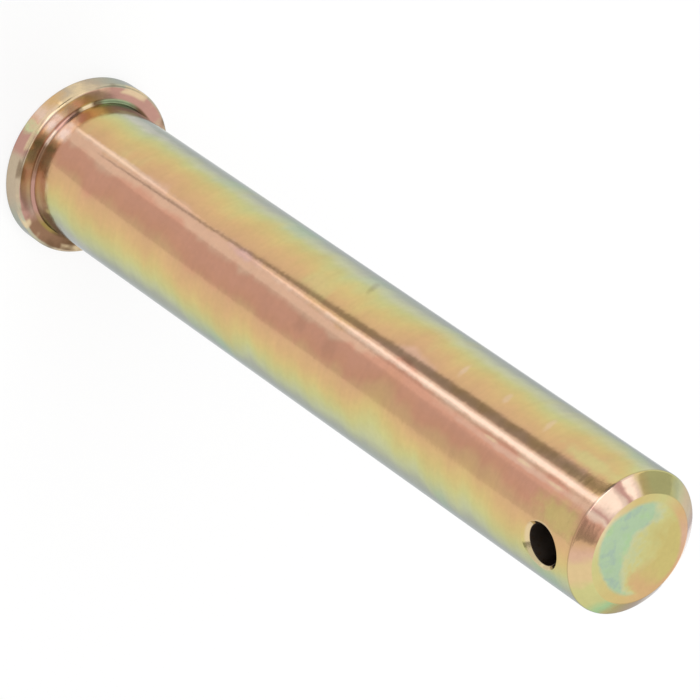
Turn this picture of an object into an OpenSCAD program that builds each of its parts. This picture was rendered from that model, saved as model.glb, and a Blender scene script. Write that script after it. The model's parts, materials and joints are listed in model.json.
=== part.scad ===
// Headed clevis pin with a chamfered tip and a cross hole, for a stabilizer bracket.
// The pin stands on its head: the origin is the centre of the head's outer face, and +Z runs to the tip.
// It is turned from one bar, so its section is a single outline that is spun about the axis.

/* [Shank] */
// Diameter of the shank
shank_d = 19; // [14:0.5:32]
// Length from the head's bearing face to the end of the tip
under_head_l = 114.5; // [60:0.5:220]

/* [Head] */
// How far the head stands out past the shank, all round
head_ledge = 2.5; // [2.3:0.1:8]
// Thickness of the head
head_t = 3; // [2:0.1:10]
// Radius on the rim of the head, at both faces
head_edge_r = 0.45; // [0.2:0.05:0.8]
// Radius of the fillet between the bearing face and the shank
neck_r = 0.5; // [0.4:0.1:1.4]

/* [Tip] */
// Length of the tip's chamfer along the pin
chamfer_l = 1.8; // [1:0.1:4]
// Depth of the tip's chamfer across the pin
chamfer_d = 2.3; // [1:0.1:4]
// Radius where the chamfer meets the shank
chamfer_root_r = 0.5; // [0.2:0.1:0.8]
// Radius where the chamfer meets the end face
chamfer_end_r = 0.35; // [0.15:0.05:0.5]

/* [Cross hole] */
// Diameter of the cross hole
hole_d = 5.3; // [3:0.1:8]
// Distance from the centre of the cross hole to the end of the tip
hole_to_tip = 7.3; // [7:0.1:20]
// Width of the countersink at the sides of each mouth, where the round shank makes it narrowest
mouth_w = 0.3; // [0.05:0.05:0.5]

/* [Hidden] */
$fn = 96;

shank_r = shank_d / 2;
head_r = shank_r + head_ledge;
overall_l = head_t + under_head_l;
tip_r = shank_r - chamfer_d;
hole_r = hole_d / 2;
hole_z = overall_l - hole_to_tip;
// Distance from the pin's axis at which the countersinks start
mouth_base = sqrt(shank_r ^ 2 - (hole_r + mouth_w) ^ 2) - mouth_w;
// A cutter runs this far past the surface that it opens
over = 1;
zinc_gold = [0.83, 0.70, 0.47];

// Unit vector from point a towards point b
function heading(a, b) = (b - a) / norm(b - a);

// How far the ends of a rounding of radius r lie from its corner, between two unit vectors along the sides
function tangent_reach(u, v, r) = r / tan(acos(u * v) / 2);

// Centre of the rounding in the corner at p
function rounding_centre(p, u, v, r) = p + (u + v) * tangent_reach(u, v, r) / (1 + u * v);

// The sliver between the corner b of the path a, b, c and the arc that rounds it:
// an outer corner loses it, and an inner corner is filled with it
module corner_sliver(a, b, c, r) {
    u = heading(b, a);
    v = heading(b, c);
    reach = tangent_reach(u, v, r);
    centre = rounding_centre(b, u, v, r);
    difference() {
        polygon([b, b + u * reach, centre, b + v * reach]);
        translate(centre) circle(r);
    }
}

// Half of the pin's section, with the axis on the left: a sharp outline that is rounded corner by corner
module half_section() {
    head_bottom = [head_r, 0];
    head_top = [head_r, head_t];
    neck = [shank_r, head_t];
    chamfer_root = [shank_r, overall_l - chamfer_l];
    chamfer_end = [tip_r, overall_l];
    difference() {
        union() {
            polygon([[0, 0], head_bottom, head_top, neck, chamfer_root, chamfer_end, [0, overall_l]]);
            corner_sliver(head_top, neck, chamfer_root, neck_r);
        }
        corner_sliver([0, 0], head_bottom, head_top, head_edge_r);
        corner_sliver(head_bottom, head_top, neck, head_edge_r);
        corner_sliver(neck, chamfer_root, chamfer_end, chamfer_root_r);
        corner_sliver(chamfer_root, chamfer_end, [0, overall_l], chamfer_end_r);
    }
}

// The drill along Y, and the 90 degree countersink that opens each of its mouths
module cross_hole() {
    reach = shank_r + over;
    mouth_l = reach - mouth_base;
    rotate([90, 0, 0]) cylinder(h = 2 * reach, r = hole_r, center = true);
    for (side = [-1, 1])
        rotate([side * 90, 0, 0])
            translate([0, 0, mouth_base]) cylinder(h = mouth_l, r1 = hole_r, r2 = hole_r + mouth_l);
}

// The whole pin: head, shank and chamfered tip in one turned solid, drilled across near the tip
module pin() {
    color(zinc_gold) difference() {
        rotate_extrude() half_section();
        translate([0, 0, hole_z]) cross_hole();
    }
}

pin();
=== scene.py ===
"""Dresses the stabilizer pin: a turned pin with a cross hole, iridescent zinc plate and a pale studio."""

import json
import math

import bmesh
import bpy
from bpy.props import FloatProperty, FloatVectorProperty, IntProperty, PointerProperty
from mathutils import Matrix, Vector


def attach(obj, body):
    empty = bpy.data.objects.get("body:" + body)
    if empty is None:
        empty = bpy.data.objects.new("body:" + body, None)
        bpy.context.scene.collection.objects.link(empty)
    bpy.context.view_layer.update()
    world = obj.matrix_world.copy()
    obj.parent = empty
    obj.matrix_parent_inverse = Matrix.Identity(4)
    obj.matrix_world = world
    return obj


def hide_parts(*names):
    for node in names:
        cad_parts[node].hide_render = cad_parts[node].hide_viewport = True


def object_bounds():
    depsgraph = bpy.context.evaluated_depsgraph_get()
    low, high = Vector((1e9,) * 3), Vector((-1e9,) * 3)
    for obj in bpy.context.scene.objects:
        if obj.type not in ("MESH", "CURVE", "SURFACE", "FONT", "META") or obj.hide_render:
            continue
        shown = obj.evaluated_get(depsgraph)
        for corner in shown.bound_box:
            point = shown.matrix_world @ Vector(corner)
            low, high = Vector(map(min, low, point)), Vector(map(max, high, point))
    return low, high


bl_info = {
    "name": "Stabilizer Pin",
    "version": (1, 0, 0),
    "blender": (4, 5, 0),
    "location": "View3D > Sidebar > Pin",
    "description": "Builds a zinc-plated stabilizer pin and the studio that it stands in",
    "category": "Object",
}

MM = 0.001

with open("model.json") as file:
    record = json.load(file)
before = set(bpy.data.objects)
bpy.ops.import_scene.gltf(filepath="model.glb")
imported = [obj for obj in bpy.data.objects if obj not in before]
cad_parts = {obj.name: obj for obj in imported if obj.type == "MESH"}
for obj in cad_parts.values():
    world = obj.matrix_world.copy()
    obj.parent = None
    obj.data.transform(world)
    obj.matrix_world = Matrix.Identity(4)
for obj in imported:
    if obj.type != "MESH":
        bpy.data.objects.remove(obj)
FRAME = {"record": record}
CAD_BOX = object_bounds()
MOUNTS = {mount["name"]: mount for mount in FRAME["record"]["mounts"]}
SHANK_RADIUS = MOUNTS["shank"]["dims"]["r_mm"] * MM
HOLE_RADIUS = MOUNTS["cross_hole"]["dims"]["r_mm"] * MM
HOLE_HEIGHT = MOUNTS["cross_hole"]["pos_m"][2]
HEAD_THICKNESS = MOUNTS["head_seat"]["pos_m"][2]
HEAD_RADIUS = CAD_BOX[1].x
OVERALL_LENGTH = CAD_BOX[1].z

# The camera's place and turn, in the part's frame
CAMERA_PLACE = Vector((-0.36199, -0.3785, 0.56022))
CAMERA_RIGHT = Vector((-0.020247, 0.804359, 0.593799))
CAMERA_UP = Vector((-0.865716, 0.282991, -0.412857))
CAMERA_BACK = Vector((-0.500125, -0.522421, 0.690617))
CAMERA_LENS = 298.42
CAMERA_SENSOR = 36.0
CAMERA_CLIP = (0.01, 20)
# The azimuth of the camera as seen from the pin's axis, from which angles round the pin are counted
FRONT = math.atan2(CAMERA_PLACE.y, CAMERA_PLACE.x)


def paint(red, green, blue):
    """A colour given as it looks on screen, 0 to 255, as the linear values that Blender works in."""
    shares = [level / 255 for level in (red, green, blue)]
    linear = [s / 12.92 if s <= 0.04045 else ((s + 0.055) / 1.055) ** 2.4 for s in shares]
    return (*linear, 1.0)


# Sizes and colours that a user would change


def length(name, description, default):
    """A size in metres."""
    return FloatProperty(
        name=name, description=description, default=default, min=0, unit="LENGTH", precision=5
    )


def colour(name, description, default):
    """A film colour."""
    return FloatVectorProperty(
        name=name, description=description, default=default, min=0, max=1, size=4, subtype="COLOR"
    )


class PinSizes(bpy.types.PropertyGroup):
    """Sizes of the turned pin"""

    head_radius: length("Head Radius", "Radius of the head", HEAD_RADIUS)
    head_thickness: length("Head Thickness", "Thickness of the head", HEAD_THICKNESS)
    head_edge: length("Head Edge", "Radius on the rim of the head, at both faces", 0.45 * MM)
    neck: length("Neck Fillet", "Radius of the fillet between the head and the shank", 0.5 * MM)
    shank_radius: length("Shank Radius", "Radius of the shank", SHANK_RADIUS)
    overall: length("Overall Length", "Length from the head to the end of the tip", OVERALL_LENGTH)
    chamfer_length: length("Chamfer Length", "Length of the tip's chamfer along the pin", 1.8 * MM)
    chamfer_depth: length("Chamfer Depth", "Depth of the tip's chamfer across the pin", 2.3 * MM)
    chamfer_root: length("Chamfer Root", "Radius where the chamfer meets the shank", 0.5 * MM)
    chamfer_end: length("Chamfer End", "Radius where the chamfer meets the end face", 0.35 * MM)
    hole_radius: length("Hole Radius", "Radius of the cross hole", HOLE_RADIUS)
    hole_height: length("Hole Height", "Height of the cross hole's centre", HOLE_HEIGHT)
    mouth: length("Mouth", "Width of the countersink at the sides of each mouth", 0.3 * MM)
    ring_spacing: length("Ring Spacing", "Distance between the rings of the shank's mesh", 0.6 * MM)
    sides: IntProperty(
        name="Sides", description="Number of sides round the pin", default=240, min=32, max=512
    )


class FilmColours(bpy.types.PropertyGroup):
    """Colours of the iridescent film on the zinc, and of the highlights and shade painted on it"""

    pearl: colour("Pearl", "Grey-green of the thinnest film", paint(187, 188, 164))
    mint: colour("Mint", "Pale green film", paint(201, 203, 157))
    lime: colour("Lime", "Yellow-green film", paint(206, 201, 137))
    straw: colour("Straw", "Yellow film", paint(213, 190, 127))
    tan: colour("Tan", "Orange-tan film", paint(214, 177, 126))
    peach: colour("Peach", "Pink-tan film", paint(211, 169, 127))
    blush: colour("Blush", "Pale pink film", paint(217, 176, 148))
    rose: colour("Rose", "Pink-brown film", paint(211, 156, 130))
    rust: colour("Rust", "Orange-brown film", paint(210, 155, 125))
    sea: colour("Sea", "Blue-green film", paint(177, 200, 164))
    mist: colour("Mist", "Grey-blue clouds on the end face", paint(163, 182, 172))
    # Moss paints shade in the corner at the shank and a dark reflection on the bearing face
    moss: colour("Moss", "Dark green film under the head", paint(152, 168, 130))
    # Milk is painted light: highlights at the foot of the shank and along one side of it
    milk: colour("Milk", "Nearly white film in pale patches", paint(246, 236, 222))
    fern: colour("Fern", "Green film on the end face and the chamfer", paint(172, 204, 148))
    olive: colour("Olive", "Dull yellow film near the tip", paint(204, 188, 120))
    sand: colour("Sand", "Pale yellow film on the chamfer", paint(221, 194, 145))
    # Bracken paints shade: in the corner at the shank and beside the shank's dark reflected line
    bracken: colour("Bracken", "Dark yellow film in corners and stains", paint(158, 136, 78))
    # Cream also paints highlights: in the corner at the shank, on the rim's dents, at the tip and on the
    # cross hole's mouths
    cream: colour("Cream", "Pale film on edges and in spots", paint(228, 205, 165))
    # Petal also paints highlights and reflections: streaks along the shank, the chamfer's bright bands and
    # the rim's front
    petal: colour("Petal", "Pale pink film in streaks and on the chamfer", paint(226, 197, 176))
    linen: colour("Linen", "Grey-beige film on the head's rim", paint(196, 178, 152))
    lilac: colour("Lilac", "Cool pink film in spots", paint(208, 168, 180))
    # A pale grey painted on the bearing face where a window shines in it, a painted highlight
    painted_highlight_grey: colour("Steel", "Nearly bare metal on the bearing face", paint(206, 208, 216))
    clay: colour("Clay", "Dull pink-brown film on the head and the chamfer", paint(190, 146, 132))
    # Cocoa paints shade: on one side of the bearing face and in the corner at the shank
    cocoa: colour("Cocoa", "Brown film on the bearing face", paint(148, 113, 88))
    # Umber also paints shade: in the corner at the shank, on one side of the bearing face, in the rim's
    # dents and at the foot of the chamfer
    umber: colour("Umber", "Dark film in corners and scratches", paint(110, 84, 60))
    # Soot paints the bore's wall dark, partly as the shade inside the hole
    soot: colour("Soot", "Dull wall of the cross hole", paint(112, 101, 92))


class StudioSettings(bpy.types.PropertyGroup):
    """Floor and light of the studio"""

    floor_radius: length("Floor Radius", "Radius of the floor", 2.5)
    lamp_power: FloatProperty(
        name="Lamp Power", description="Power of each soft lamp", default=4.0, min=0, unit="POWER"
    )
    shadow_share: FloatProperty(
        name="Shadow Share", description="How much of the floor's brightness can fall into shadow",
        default=0.2, min=0, max=1, subtype="FACTOR",
    )
    sky: FloatProperty(
        name="Sky", description="Strength of the plain light from all round", default=0.6, min=0
    )


# Shader maths


class Wire:
    """An output socket of a shader node; arithmetic on it adds Math nodes."""

    def __init__(self, maker, socket):
        self.maker = maker
        self.socket = socket

    def __add__(self, other):
        return self.maker.math("ADD", self, other)

    __radd__ = __add__

    def __sub__(self, other):
        return self.maker.math("SUBTRACT", self, other)

    def __rsub__(self, other):
        return self.maker.math("SUBTRACT", other, self)

    def __mul__(self, other):
        return self.maker.math("MULTIPLY", self, other)

    __rmul__ = __mul__

    def __truediv__(self, other):
        return self.maker.math("DIVIDE", self, other)


class NodeMaker:
    """Adds nodes to one node tree."""

    def __init__(self, tree):
        self.tree = tree
        tree.nodes.clear()

    def add(self, kind, settings=None, inputs=None, output=0):
        """Adds a node with its settings, then the values or links of its sockets; returns one output."""
        node = self.tree.nodes.new(kind)
        for name, value in (settings or {}).items():
            if name == "stops":
                self.set_stops(node.color_ramp, value)
            else:
                setattr(node, name, value)
        for key, value in (inputs or {}).items():
            if isinstance(value, Wire):
                self.tree.links.new(value.socket, node.inputs[key])
            else:
                node.inputs[key].default_value = value
        return Wire(self, node.outputs[output]) if node.outputs else node

    def set_stops(self, ramp, stops):
        """Gives a ramp its stops, a list of (place, colour)."""
        elements = ramp.elements
        while len(elements) < len(stops):
            elements.new(1.0)
        for element, (place, shade) in zip(elements, stops):
            element.position = place
            element.color = shade

    def math(self, operation, *values, clamp=False):
        """A Math node on numbers or wires."""
        settings = {"operation": operation, "use_clamp": clamp}
        return self.add("ShaderNodeMath", settings, dict(enumerate(values)))

    def rise(self, value, start, stop):
        """0 below start and 1 above stop, turning smoothly between them; start may lie above stop."""
        settings = {"interpolation_type": "SMOOTHSTEP", "clamp": True}
        inputs = {"Value": value, "From Min": start, "From Max": stop}
        return self.add("ShaderNodeMapRange", settings, inputs)

    def blend(self, mask, below, above, kind="MIX"):
        """Mixes two colours by a mask."""
        settings = {"data_type": "RGBA", "blend_type": kind, "clamp_factor": True}
        return self.add("ShaderNodeMix", settings, {0: mask, 6: below, 7: above}, 2)

    def ramp(self, value, stops):
        """A colour ramp over a value."""
        return self.add("ShaderNodeValToRGB", {"stops": stops}, {"Fac": value})

    def noise(self, vector, scale, detail=2.0, roughness=0.5):
        """Noise round 0, from about -0.5 to 0.5, at a vector."""
        inputs = {"Vector": vector, "Scale": scale, "Detail": detail, "Roughness": roughness}
        return self.add("ShaderNodeTexNoise", None, inputs) - 0.5

    def stretch(self, vector, x, y, z):
        """A vector scaled along each axis."""
        return self.add("ShaderNodeVectorMath", {"operation": "MULTIPLY"}, {0: vector, 1: (x, y, z)})


# The film

# Where the shank's hues lie: the angle times this share, which shrinks by this much in each mm of height
ANGLE_SHARE = 1.072
ANGLE_SHRINK = 0.0012


class PinPlace:
    """Where a point of the pin's surface lies, as wires, in millimetres and degrees from the front."""

    def __init__(self, make, sizes):
        coords = make.add("ShaderNodeTexCoord", None, None, "Object")
        split = make.add("ShaderNodeSeparateXYZ", None, {"Vector": coords})
        across, _, level = (Wire(make, port) for port in split.socket.node.outputs)
        self.turned = make.add("ShaderNodeMapping", None, {"Vector": coords, "Rotation": (0, 0, -FRONT)})
        split = make.add("ShaderNodeSeparateXYZ", None, {"Vector": self.turned})
        front, side, up = (Wire(make, port) for port in split.socket.node.outputs)
        per_metre = 1 / MM
        self.front = front * per_metre
        self.side = side * per_metre
        self.up = up * per_metre
        self.radius = make.math("SQRT", self.front * self.front + self.side * self.side)
        self.angle = make.math("DEGREES", make.math("ARCTAN2", side, front))
        # Distance from the cross hole's axis
        rise = level - sizes.hole_height
        self.bore = make.math("SQRT", across * across + rise * rise) * per_metre


def over_span(make, value, span, *stops):
    """A colour by a value that lies in a span round 0, from stops of (value, colour)."""
    return make.ramp(value / span + 0.5, [(0.5 + place / span, shade) for place, shade in stops])


def over_turn(make, angle, *stops):
    """A colour by the angle round the pin, from stops of (degrees, colour)."""
    return over_span(make, angle, 360, *stops)


def shank_film(make, place, film):
    """Hues in bands along the shank that run into flames round it, closer together on the far side."""
    round_it = make.stretch(place.turned, 0.6, 0.6, 1.4)
    # Broad flames and small ones, in degrees
    flames = make.noise(round_it, 80, 3) * 50 + make.noise(round_it, 300, 2) * 6
    # The bands lie further from the front towards the tip
    angle = place.angle * (ANGLE_SHARE - ANGLE_SHRINK * place.up) + flames
    bands = over_turn(
        make, angle,
        (-170, film.tan), (-150, film.peach), (-132, film.tan), (-118, film.straw), (-107, film.lime),
        (-97, film.mint), (-86, film.pearl), (-70, film.pearl), (-61, film.mint), (-52, film.lime),
        (-42, film.straw), (-31, film.tan), (-20, film.peach), (-14, film.blush), (-7, film.blush),
        (-2, film.rose), (4, film.rose), (12, film.rust), (20, film.peach), (30, film.tan),
        (40, film.straw), (50, film.lime), (60, film.mint), (70, film.pearl), (86, film.pearl),
        (97, film.mint), (107, film.lime), (118, film.straw), (132, film.tan), (150, film.peach),
        (170, film.tan),
    )
    # Patches of green lie in the tan
    islands = make.rise(make.noise(round_it, 110, 2), 0.04, 0.18) * make.rise(angle, -16, -28)
    bands = make.blend(islands * 0.45, bands, film.lime)
    # Some of the green is nearly blue
    patches = make.rise(make.noise(round_it, 55, 2), 0.02, 0.16)
    steep = make.math("ABSOLUTE", angle)
    green = make.rise(steep, 48, 60) * make.rise(steep, 84, 70)
    return make.blend(patches * green * 0.7, bands, film.sea)


def end_film(make, place, film):
    """A blue-green bloom on the end face's near side, yellow and tan beyond it, and a warm edge."""
    cloud = make.noise(place.turned, 240, 3, 0.6)
    swirl = make.noise(place.turned, 430, 3, 0.6)
    reach = make.math("MAXIMUM", place.side, 0)
    bloom = place.front + 0.6 + 0.12 * reach * reach + cloud * 8 + swirl * 4
    face = over_span(
        make, bloom, 20,
        (-2.2, film.olive), (0.4, film.lime), (1.5, film.mint), (3, film.sea), (7, film.sea),
        (8.5, film.mint),
    )
    in_bloom = make.rise(bloom, 0.5, 3)
    face = make.blend(make.rise(swirl, 0.02, 0.18) * in_bloom * 0.5, face, film.fern)
    face = make.blend(make.rise(swirl, -0.02, -0.18) * in_bloom * 0.6, face, film.mist)
    warm = make.rise(place.side + cloud * 6, 0.5, 3.5) * make.rise(bloom, 1, -1)
    face = make.blend(warm, face, film.tan)
    edge = over_turn(
        make, place.angle,
        (-180, film.peach), (-140, film.blush), (-110, film.tan), (-75, film.lime), (-40, film.straw),
        (0, film.cream), (40, film.lime), (100, film.straw), (140, film.tan), (180, film.peach),
    )
    inset = 0.13 * make.math("ABSOLUTE", place.side)
    return make.blend(make.rise(place.radius + inset + cloud, 6.4, 7.2), face, edge)


def chamfer_film_and_reflections(make, place, film):
    """The chamfer's hues by angle, partly painted reflections: pale pink bands where windows shine in it,
    with a dull pink-brown gap between them.
    """
    wobble = make.noise(place.turned, 420, 3) * 16
    return over_turn(
        make, place.angle + wobble,
        (-180, film.tan), (-135, film.blush), (-120, film.cream), (-106, film.cream), (-94, film.mint),
        (-86, film.lime), (-62, film.lime), (-50, film.straw), (-43, film.petal), (-35, film.petal),
        (-32, film.clay), (-29, film.clay), (-25, film.petal), (-12, film.petal), (-6, film.clay),
        (-1, film.petal), (5, film.rose), (24, film.peach), (33, film.blush), (42, film.sand),
        (57, film.sand), (66, film.lime), (88, film.lime), (103, film.fern), (111, film.olive),
        (135, film.tan), (180, film.tan),
    )


def head_film_and_painted_light(make, place, film, sizes):
    """Grey-beige on the head's rim with a painted highlight at its front, pink-brown on its bearing face
    with painted reflections and painted shade on one side, and painted shade in the corner at the shank.
    """
    cloud = make.noise(place.turned, 330, 3, 0.6)
    angle = place.angle + cloud * 26
    # The rim's hues hold a painted pale pink highlight at the front
    rim = over_turn(
        make, angle,
        (-180, film.tan), (-110, film.linen), (-70, film.pearl), (-48, film.linen), (-40, film.cream),
        (-32, film.linen), (-21, film.tan), (-12, film.petal), (-5, film.blush), (0, film.mint),
        (5, film.clay), (14, film.clay), (22, film.linen), (50, film.linen), (70, film.pearl),
        (110, film.linen), (180, film.tan),
    )
    # The bearing face's hues hold painted reflections near the front, a pale grey streak and a dark green
    # spot, and painted shade in dark browns on one side
    seat = over_turn(
        make, angle,
        (-180, film.tan), (-135, film.mint), (-115, film.clay), (-66, film.clay), (-52, film.blush),
        (-40, film.clay), (-31, film.lilac), (-22, film.painted_highlight_grey), (-9, film.painted_highlight_grey), (1, film.pearl),
        (10, film.moss), (18, film.pearl), (28, film.clay), (62, film.clay), (74, film.cocoa),
        (92, film.cocoa), (112, film.umber), (122, film.umber), (130, film.linen), (180, film.tan),
    )
    inside = make.rise(place.radius, 11, 10.2) * make.rise(angle, 20, 40) * make.rise(angle, 74, 58)
    seat = make.blend(inside * 0.6, seat, film.petal)
    # The corner at the shank is painted shade in dark browns and greens, with painted pale highlights in a
    # few places
    corner = over_turn(
        make, angle,
        (-180, film.umber), (-92, film.umber), (-78, film.moss), (-58, film.moss), (-49, film.umber),
        (-43, film.cream), (-36, film.cream), (-30, film.umber), (-20, film.clay), (-10, film.clay),
        (-4, film.petal), (4, film.petal), (9, film.cocoa), (24, film.cocoa), (38, film.clay),
        (62, film.clay), (78, film.bracken), (88, film.bracken), (96, film.umber), (180, film.umber),
    )
    shank_edge = sizes.shank_radius / MM
    rim_edge = sizes.head_radius / MM
    seat = make.blend(make.rise(place.radius, shank_edge + 0.75, shank_edge + 0.35), seat, corner)
    head = make.blend(make.rise(place.radius + cloud * 0.3, rim_edge - 0.5, rim_edge - 0.2), seat, rim)
    # Small dents along the upper edge of the rim, painted as pale glints and dark shade
    dent_glints_and_shade = make.noise(place.turned, 270, 2)
    seat_level = sizes.head_thickness / MM
    near_edge = make.rise(place.radius, rim_edge - 1.3, rim_edge - 0.8)
    near_edge = near_edge * make.rise(place.up, seat_level - 1.0, seat_level - 0.5)
    head = make.blend(make.rise(dent_glints_and_shade, 0.02, 0.16) * near_edge * 0.8, head, film.cream)
    return make.blend(make.rise(dent_glints_and_shade, -0.05, -0.2) * near_edge * 0.6, head, film.umber)


def put_marks(make, place, base, film):
    """Small stains and scratches, and painted highlights, reflections and shade, each a soft spot at a
    height and an angle.
    """
    ragged = make.noise(place.turned, 700, 3) * 1.2
    # Height in mm and angle of each spot, its half height and half width, the mm that it leans in a degree,
    # its colour and its strength
    marks = (
        # A dark scratch, two stains and a pink spot
        (62.6, -54, 0.6, 10, 0.09, film.umber, 0.3),
        (59.4, 6, 1.4, 8, 0.0, film.umber, 0.14),
        (65.8, 9, 1.4, 9, 0.0, film.umber, 0.14),
        (44.5, -12.5, 3.2, 4.5, 0.0, film.lilac, 0.35),
        # Three pale scratches in a row
        (85.0, -37, 0.5, 8, 0.05, film.petal, 0.45),
        (93.3, -38, 0.5, 7, 0.05, film.petal, 0.4),
        (101.2, -39, 0.5, 8, 0.05, film.petal, 0.4),
        # Yellow and yellow-green film near the tip
        (112.5, 14, 4.8, 13, 0.0, film.olive, 0.75),
        (111.0, -33, 6.0, 7, 0.0, film.lime, 0.6),
        # Two pale streaks along the shank, painted highlights that follow its reflected bright lines
        (14.0, -18.5, 13.0, 3, 0.0, film.petal, 0.6),
        (95.0, -10.5, 42.0, 3.5, 0.0, film.petal, 0.8),
        # Pale patches at the foot of the shank, painted reflections
        (4.7, 52, 1.6, 32, 0.0, film.milk, 0.35),
        (4.7, -8, 1.1, 8, 0.0, film.petal, 0.9),
        (9.0, 74, 8.0, 12, 0.0, film.milk, 0.25),
        (9.0, -63, 8.0, 8, 0.0, film.milk, 0.25),
        # A pale band along one side, painted light that brightens that side
        (62.0, -61, 90.0, 9, 0.0, film.milk, 0.12),
        # A pale, ragged band near the tip, painted as a reflection, with pale spots on its edge
        (102.0, -2, 14.0, 2.8, 0.0, film.petal, 0.4),
        (96.5, -4, 1.6, 1.6, 0.0, film.cream, 0.5),
        (103.0, -3.2, 1.4, 1.5, 0.0, film.cream, 0.5),
        (109.0, -2.6, 1.8, 1.5, 0.0, film.cream, 0.5),
        # Painted shade beside it, along the shank's dark reflected line
        (98.0, -18, 30.0, 5, 0.0, film.bracken, 0.25),
        (111.0, -18, 5.0, 5, 0.0, film.bracken, 0.3),
    )
    for height, angle, tall, wide, lean, shade, strength in marks:
        off_angle = (place.angle - angle) / wide
        off_height = (place.up - height - lean * (place.angle - angle)) / tall
        reach = make.math("SQRT", off_angle * off_angle + off_height * off_height) + ragged
        base = make.blend(make.rise(reach, 1.3, 0.3) * strength, base, shade)
    return base


def film_by_zone(make, place, film, sizes):
    """The film of the whole pin with its painted highlights, reflections and shade, zone by zone from the
    shank: head, chamfer and end face.
    """
    seat_height = sizes.head_thickness / MM
    tip_height = sizes.overall / MM
    root_height = tip_height - sizes.chamfer_length / MM
    neck = sizes.neck / MM
    body = put_marks(make, place, shank_film(make, place, film), film)
    on_head = make.rise(place.up, seat_height + neck, seat_height + 0.6 * neck)
    body = make.blend(on_head, body, head_film_and_painted_light(make, place, film, sizes))
    on_chamfer = make.rise(place.up, root_height - 0.15, root_height)
    body = make.blend(on_chamfer, body, chamfer_film_and_reflections(make, place, film))
    on_end = make.rise(place.up, tip_height - 0.1, tip_height - 0.02)
    body = make.blend(on_end, body, end_film(make, place, film))
    # A thin line of painted shade at the foot of the chamfer, in brown
    from_root = make.math("ABSOLUTE", place.up - root_height + 0.1)
    return make.blend(make.rise(from_root, 0.14, 0.03) * 0.25, body, film.umber)


def turning_marks(make, place):
    """Fine grooves round the pin, on a surface that wanders slowly."""
    grooves = make.noise(make.stretch(place.turned, 0.05, 0.05, 1), 5200, 2, 0.6)
    wander = make.noise(make.stretch(place.turned, 1, 1, 2.2), 240, 3, 0.6)
    height = 0.5 * grooves + 5 * wander
    return make.add("ShaderNodeBump", None, {"Strength": 0.06, "Distance": 0.1 * MM, "Height": height})


def plate(film, sizes):
    """The iridescent zinc plate: film hues by place on the pin with painted highlights, reflections and
    shade, turning marks and a dull bore painted dark.
    """
    material = bpy.data.materials.new("iridescent zinc")
    material.use_nodes = True
    make = NodeMaker(material.node_tree)
    place = PinPlace(make, sizes)
    body = film_by_zone(make, place, film, sizes)

    # The tone varies in streaks round the pin, in grains and in clouds
    streaks = make.noise(make.stretch(place.turned, 0.12, 0.12, 3), 500, 2, 0.6)
    grain = make.noise(place.turned, 1500, 2, 0.6)
    cloud = make.noise(place.turned, 260, 3, 0.6)
    tone = 1 + 0.09 * streaks + 0.10 * grain + 0.16 * cloud
    tint = make.add("ShaderNodeCombineColor", None, {"Red": tone, "Green": tone, "Blue": tone})
    body = make.blend(1.0, body, tint, "MULTIPLY")

    # The bore's wall is dull and painted dark, partly painted shade inside the hole, and its mouths are
    # painted pale as a highlight
    bore = sizes.hole_radius / MM
    mouth = make.rise(place.bore, bore + 0.6, bore + 0.3)
    body = make.blend(mouth * 0.8, body, film.cream)
    wall = make.rise(place.bore, bore + 0.06, bore + 0.02)
    dull = make.blend(make.rise(grain, 0.0, 0.3), film.soot, film.umber)
    body = make.blend(wall, body, dull)

    # The plate is rougher on the head, at the foot of the shank and in the bore
    seat_height = sizes.head_thickness / MM
    foot = make.rise(place.up, seat_height + 3, seat_height + 1)
    roughness = 0.14 + 0.08 * streaks + 0.05 * foot + 0.3 * wall

    zinc = make.add("ShaderNodeBsdfPrincipled", None, {
        "Base Color": body, "Metallic": 1.0, "Roughness": roughness, "Normal": turning_marks(make, place),
        "Specular Tint": (0.60, 0.63, 0.68, 1.0), "Anisotropic": 0.4, "Anisotropic Rotation": 0.25,
    })
    make.add("ShaderNodeOutputMaterial", None, {"Surface": zinc})
    return material


# The turned pin

CORNER_SEGMENTS = 8
DRILL_SIDES = 128
# The drill runs this far past the shank
DRILL_PAST = 1 * MM
# Points closer together than this are one
MERGE_DISTANCE = 1e-7
# Faces that meet at more than this angle keep a crisp edge
CRISP_ANGLE = math.radians(18)


def corner_reach(before, corner, after, radius):
    """How far from a corner a rounding of a radius starts."""
    opening = (before - corner).angle(after - corner)
    return radius / math.tan(opening / 2)


def draw_outline(bm, corners, segments):
    """A wire outline through corners (radius, height, rounding), with its corners rounded."""
    points = [Vector((radius, 0, height)) for radius, height, _ in corners]
    verts = [bm.verts.new(point) for point in points]
    for start, stop in zip(verts, verts[1:]):
        bm.edges.new((start, stop))
    for place, (_, _, rounding) in enumerate(corners):
        if rounding:
            reach = corner_reach(points[place - 1], points[place], points[place + 1], rounding)
            bmesh.ops.bevel(
                bm, geom=[verts[place]], offset=reach, offset_type="OFFSET", segments=segments,
                profile=0.5, affect="VERTICES", material=-1,
            )


def divide(bm, spacing):
    """Cuts each edge of a wire into steps no longer than a spacing."""
    for edge in list(bm.edges):
        cuts = math.ceil(edge.calc_length() / spacing) - 1
        if cuts > 0:
            bmesh.ops.subdivide_edges(bm, edges=[edge], cuts=cuts)


def spin_closed(bm, centre, axis, steps):
    """Spins a wire into a closed skin whose faces point outwards."""
    bmesh.ops.spin(
        bm, geom=bm.verts[:] + bm.edges[:], cent=centre, axis=axis, angle=math.tau, steps=steps,
        use_merge=True,
    )
    bmesh.ops.remove_doubles(bm, verts=bm.verts, dist=MERGE_DISTANCE)
    bmesh.ops.recalc_face_normals(bm, faces=bm.faces)


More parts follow.
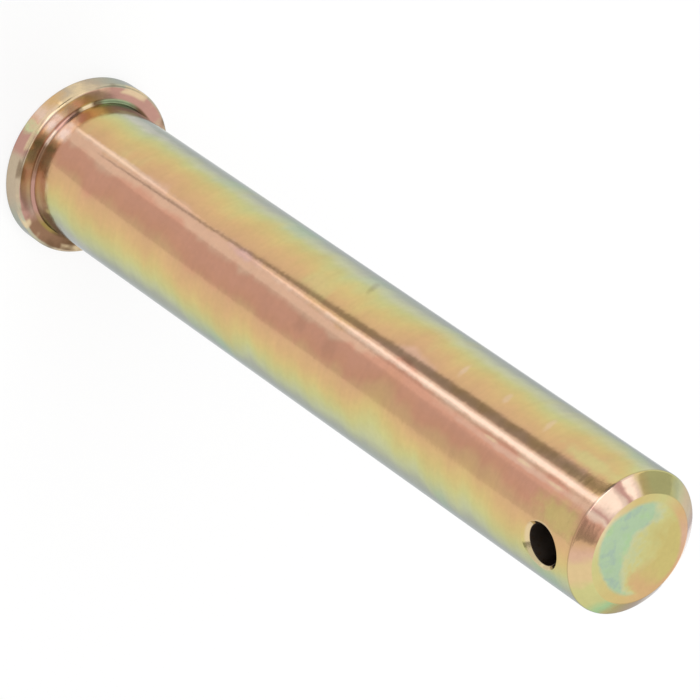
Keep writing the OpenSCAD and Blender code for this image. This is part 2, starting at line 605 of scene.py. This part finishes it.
def finish_mesh(bm, name):
    """An object of a bmesh, at the origin, unturned and unscaled."""
    mesh = bpy.data.meshes.new(name)
    bm.to_mesh(mesh)
    bm.free()
    piece = bpy.data.objects.new(name, mesh)
    bpy.context.scene.collection.objects.link(piece)
    return piece


def build_drill(sizes):
    """The tool that cuts the cross hole and countersinks both its mouths."""
    reach = sizes.shank_radius + DRILL_PAST
    start = math.sqrt(sizes.shank_radius ** 2 - (sizes.hole_radius + sizes.mouth) ** 2) - sizes.mouth
    flare = sizes.hole_radius + reach - start
    bm = bmesh.new()
    rows = [
        (0, -reach),
        (flare, -reach),
        (sizes.hole_radius, -start),
        (sizes.hole_radius, start),
        (flare, reach),
        (0, reach),
    ]
    verts = [bm.verts.new((radius, place, sizes.hole_height)) for radius, place in rows]
    for first, second in zip(verts, verts[1:]):
        bm.edges.new((first, second))
    spin_closed(bm, (0, 0, sizes.hole_height), (0, 1, 0), DRILL_SIDES)
    return finish_mesh(bm, "drill")


def build_pin(sizes):
    """The whole pin: head, fillet, shank and chamfered tip, drilled across near the tip."""
    chamfer_base = sizes.overall - sizes.chamfer_length
    corners = [
        (0, 0, 0),
        (sizes.head_radius, 0, sizes.head_edge),
        (sizes.head_radius, sizes.head_thickness, sizes.head_edge),
        (sizes.shank_radius, sizes.head_thickness, sizes.neck),
        (sizes.shank_radius, chamfer_base, sizes.chamfer_root),
        (sizes.shank_radius - sizes.chamfer_depth, sizes.overall, sizes.chamfer_end),
        (0, sizes.overall, 0),
    ]
    bm = bmesh.new()
    draw_outline(bm, corners, CORNER_SEGMENTS)
    divide(bm, sizes.ring_spacing)
    spin_closed(bm, (0, 0, 0), (0, 0, 1), sizes.sides)
    pin = finish_mesh(bm, "zinc_pin")
    drill = build_drill(sizes)
    cut = pin.modifiers.new("cross hole", "BOOLEAN")
    cut.operation = "DIFFERENCE"
    cut.solver = "EXACT"
    cut.object = drill
    bpy.context.view_layer.update()
    shaped = pin.evaluated_get(bpy.context.evaluated_depsgraph_get())
    mesh = bpy.data.meshes.new_from_object(shaped)
    pin.modifiers.clear()
    pin.data = mesh
    bpy.data.objects.remove(drill)
    for face in mesh.polygons:
        face.use_smooth = True
    mesh.set_sharp_from_angle(angle=CRISP_ANGLE)
    return pin


class OBJECT_OT_turn_pin(bpy.types.Operator):
    """Turn the pin, drill it and plate it"""

    bl_idname = "object.turn_stabilizer_pin"
    bl_label = "Turn Pin"

    def execute(self, context):
        """Builds the pin and stands it for the CAD solid."""
        scene = context.scene
        pin = build_pin(scene.pin_sizes)
        pin.data.materials.clear()
        pin.data.materials.append(plate(scene.pin_film, scene.pin_sizes))
        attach(pin, "root")
        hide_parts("pin")
        return {"FINISHED"}


# The studio

FLOOR_SIDES = 96
# Floor cards lie just over the floor, wall cards rise at the far radius, and sky cards lie on a sphere
CARD_HEIGHT = 0.3 * MM
FAR_RADIUS = 0.45
WALL_HEIGHT = 0.35
SKY_RADIUS = 0.8
# Wall cards turn in steps of at most this many degrees
CARD_STEP = 10

# Both lamps hang over the pin, one on each side, and face a point inside it
LAMPS = {"key lamp": (-0.5, -0.2, 0.8), "fill lamp": (0.5, 0.3, 0.8)}
LAMP_SIZE = 0.8
LAMP_TARGET = Vector((0, 0, 0.05))

# Floor cards near the pin: brightness, and rows of a height on the shank in mm with the first and the last
# angle round the shank that mirror the card to the camera
NEAR_CARDS = {
    "fading line": (1.35, [(5, -20.4, -18.4), (14, -19.6, -17.6), (26, -18, -16.4), (36, -16.6, -16)]),
    "dark line": (0.40, [(12, -12.6, -12), (24, -13.8, -12.4), (36, -15.0, -13.2), (48, -17.2, -14.8),
                         (56, -19, -15), (72, -21.1, -15), (88, -22.7, -14.3), (104, -23.8, -14.8),
                         (117, -25.4, -14.4)]),
    "bright line": (1.55, [(44, -12.4, -12), (50, -12.8, -11.7), (60, -12.8, -11.2), (72, -12.9, -10.9),
                          (86, -12.3, -9.4), (97, -12.5, -9.2), (110, -12.3, -8), (117, -12.3, -7.8)]),
    "thin band": (0.76, [(56, -9.6, -9), (66, -9.4, -7.2), (86, -8, -5.4), (97, -7.4, -5), (110, -7, -5),
                         (117, -6.8, -5)]),
    "wide band": (0.80, [(6, -8, 15), (12, -7, 17), (24, -4, 19.5), (40, -3.5, 21), (56, -2.5, 22),
                         (72, -1, 22.5), (86, 0.5, 23.5), (97, 2.5, 26), (110, 4, 26), (117, 4.5, 26)]),
}

# Cards on the floor and up the walls: brightness, inner radius in mm, first and last azimuth from the front
WALL_CARDS = {
    "front dark": (0.35, 150, -52, -33),
    "front bright": (1.7, 150, -27, -16),
    "front edge": (0.89, 150, -8, 0),
    "front band": (0.78, 150, 0, 40),
    "front end": (0.89, 150, 40, 52),
    "back dark": (0.85, 16, 156, 172),
    "back bright": (1.6, 16, 178, 189),
    "back band": (0.93, 16, 199, 216),
}

# Cards in the sky: brightness, the height in mm that they are round, and rows of an elevation with the first
# and the last azimuth
SKY_CARDS = {
    "low window": (2.5, 3, [(36, -48, -4), (50, -48, -2)]),
    "high window": (1.45, 117, [(51, -58, -14), (61, -58, -14)]),
    "side window": (1.5, 117, [(38, -88, -72), (50, -86, -70)]),
    "low door": (0.34, 3, [(36, 6, 50), (50, 6, 50)]),
    "high door": (0.42, 117, [(49, 10, 51), (62, 10, 51)]),
    "side flag": (0.58, 117, [(4, -134, -95), (42, -134, -95)]),
    "side flag end": (0.76, 117, [(4, -148, -134), (42, -148, -134)]),
}


def heading(angle):
    """A level unit vector at an azimuth in degrees from the front."""
    azimuth = FRONT + math.radians(angle)
    return Vector((math.cos(azimuth), math.sin(azimuth), 0))


def mirror_spot(height, angle):
    """Where the camera's ray lands near the floor once the shank mirrors it, at a height and an angle."""
    out = heading(angle)
    point = out * SHANK_RADIUS + Vector((0, 0, height))
    ray = (point - CAMERA_PLACE).normalized().reflect(out)
    return point + ray * ((CARD_HEIGHT - height) / ray.z)


def spread(first, last):
    """Angles from first to last, in even steps."""
    count = max(1, math.ceil((last - first) / CARD_STEP))
    return [first + (last - first) * step / count for step in range(count + 1)]


def seen_share(make, share):
    """A share for what the camera, gloss and glass see, and 0 for all other light."""
    kinds = ("Is Camera Ray", "Is Glossy Ray", "Is Transmission Ray")
    rays = [make.add("ShaderNodeLightPath", None, None, kind) for kind in kinds]
    return make.math("ADD", rays[0] + rays[1], rays[2], clamp=True) * share


def floor_material(studio):
    """White floor that keeps a soft shadow."""
    material = bpy.data.materials.new("studio floor")
    material.use_nodes = True
    make = NodeMaker(material.node_tree)
    plain = make.add("ShaderNodeBsdfDiffuse", None, {"Color": (0.9, 0.9, 0.9, 1)})
    glow = make.add("ShaderNodeEmission", None, {"Color": (1, 1, 1, 1), "Strength": 1.0})
    share = seen_share(make, 1 - studio.shadow_share)
    mixed = make.add("ShaderNodeMixShader", None, {0: share, 1: plain, 2: glow})
    make.add("ShaderNodeOutputMaterial", None, {"Surface": mixed})
    return material


def card_material(level):
    """A studio card that shows in the metal at a brightness."""
    material = bpy.data.materials.new(f"studio card {level:.2f}")
    material.use_nodes = True
    make = NodeMaker(material.node_tree)
    glow = make.add("ShaderNodeEmission", None, {"Color": (1, 1, 1, 1), "Strength": level})
    make.add("ShaderNodeOutputMaterial", None, {"Surface": glow})
    return material


def raise_card(name, rows, level):
    """A card of quads through rows of points, which only the metal sees."""
    bm = bmesh.new()
    grid = [[bm.verts.new(point) for point in row] for row in rows]
    for lower, upper in zip(grid, grid[1:]):
        for place in range(len(lower) - 1):
            bm.faces.new((lower[place], lower[place + 1], upper[place + 1], upper[place]))
    card = finish_mesh(bm, name)
    card.data.materials.append(card_material(level))
    card.visible_camera = False
    card.visible_diffuse = False
    card.visible_shadow = False
    card.visible_transmission = False


def hang_cards():
    """All the cards that the metal mirrors: near the pin, out to the walls, and in the sky."""
    for name, (level, rows) in NEAR_CARDS.items():
        spots = [[mirror_spot(height * MM, angle) for angle in ends] for height, *ends in rows]
        raise_card(name, spots, level)
    for name, (level, start, first, last) in WALL_CARDS.items():
        profile = ((start * MM, CARD_HEIGHT), (FAR_RADIUS, CARD_HEIGHT), (FAR_RADIUS, WALL_HEIGHT))
        angles = spread(first, last)
        rows = [
            [heading(angle) * radius + Vector((0, 0, height)) for angle in angles]
            for radius, height in profile
        ]
        raise_card(name, rows, level)
    for name, (level, centre, bands) in SKY_CARDS.items():
        rows = []
        for elevation, first, last in bands:
            climb = math.radians(elevation)
            lift = Vector((0, 0, centre * MM + SKY_RADIUS * math.sin(climb)))
            angles = (first, (first + last) / 2, last)
            rows.append([heading(angle) * SKY_RADIUS * math.cos(climb) + lift for angle in angles])
        raise_card(name, rows, level)


def set_camera():
    """The camera at the photograph's viewing angle."""
    data = bpy.data.cameras.new("camera")
    data.lens = CAMERA_LENS
    data.sensor_width = CAMERA_SENSOR
    data.clip_start, data.clip_end = CAMERA_CLIP
    camera = bpy.data.objects.new("camera", data)
    turn = Matrix((CAMERA_RIGHT, CAMERA_UP, CAMERA_BACK)).transposed()
    camera.matrix_world = Matrix.Translation(CAMERA_PLACE) @ turn.to_4x4()
    bpy.context.scene.collection.objects.link(camera)
    bpy.context.scene.camera = camera


def hang_lamp(name, place, size, power):
    """A soft square lamp that faces the pin and doesn't show in it."""
    data = bpy.data.lights.new(name, "AREA")
    data.size = size
    data.energy = power
    lamp = bpy.data.objects.new(name, data)
    lamp.location = place
    lamp.rotation_mode = "QUATERNION"
    lamp.rotation_quaternion = (Vector(place) - LAMP_TARGET).to_track_quat("Z", "Y")
    lamp.visible_glossy = False
    bpy.context.scene.collection.objects.link(lamp)


def set_world(studio):
    """Plain light from all round, white behind the object."""
    world = bpy.data.worlds.new("studio")
    world.use_nodes = True
    bpy.context.scene.world = world
    make = NodeMaker(world.node_tree)
    soft = make.add("ShaderNodeBackground", None, {"Color": (1, 1, 1, 1), "Strength": studio.sky})
    white = make.add("ShaderNodeBackground", None, {"Color": (1, 1, 1, 1), "Strength": 1.0})
    mixed = make.add("ShaderNodeMixShader", None, {0: seen_share(make, 1.0), 1: soft, 2: white})
    make.add("ShaderNodeOutputWorld", None, {"Surface": mixed})


class SCENE_OT_set_pin_studio(bpy.types.Operator):
    """Set the floor, the cards, the lamps and the camera"""

    bl_idname = "scene.set_pin_studio"
    bl_label = "Set Studio"

    def execute(self, context):
        """Builds the studio round the pin."""
        scene = context.scene
        studio = scene.pin_studio
        bm = bmesh.new()
        bmesh.ops.create_circle(bm, cap_ends=True, radius=studio.floor_radius, segments=FLOOR_SIDES)
        floor = finish_mesh(bm, "floor")
        floor.data.materials.append(floor_material(studio))
        hang_cards()
        for name, place in LAMPS.items():
            hang_lamp(name, place, LAMP_SIZE, studio.lamp_power)
        set_world(studio)
        set_camera()
        scene.view_settings.view_transform = "Standard"
        return {"FINISHED"}


class VIEW3D_PT_stabilizer_pin(bpy.types.Panel):
    """Steps and settings of the pin"""

    bl_idname = "VIEW3D_PT_stabilizer_pin"
    bl_label = "Stabilizer Pin"
    bl_space_type = "VIEW_3D"
    bl_region_type = "UI"
    bl_category = "Pin"

    def draw(self, context):
        """Lists the operators and the settings."""
        layout = self.layout
        layout.operator(OBJECT_OT_turn_pin.bl_idname)
        layout.operator(SCENE_OT_set_pin_studio.bl_idname)
        for group in (context.scene.pin_sizes, context.scene.pin_film, context.scene.pin_studio):
            box = layout.box()
            for name in group.__annotations__:
                box.prop(group, name)


CLASSES = (
    PinSizes, FilmColours, StudioSettings,
    OBJECT_OT_turn_pin, SCENE_OT_set_pin_studio, VIEW3D_PT_stabilizer_pin,
)


def register():
    """Registers the classes and their settings."""
    for entry in CLASSES:
        bpy.utils.register_class(entry)
    bpy.types.Scene.pin_sizes = PointerProperty(type=PinSizes)
    bpy.types.Scene.pin_film = PointerProperty(type=FilmColours)
    bpy.types.Scene.pin_studio = PointerProperty(type=StudioSettings)


def unregister():
    """Removes the settings and the classes."""
    del bpy.types.Scene.pin_studio
    del bpy.types.Scene.pin_film
    del bpy.types.Scene.pin_sizes
    for entry in reversed(CLASSES):
        bpy.utils.unregister_class(entry)


def main():
    """Builds the pin and its studio."""
    register()
    bpy.ops.object.turn_stabilizer_pin()
    bpy.ops.scene.set_pin_studio()


if __name__ == "__main__":
    main()
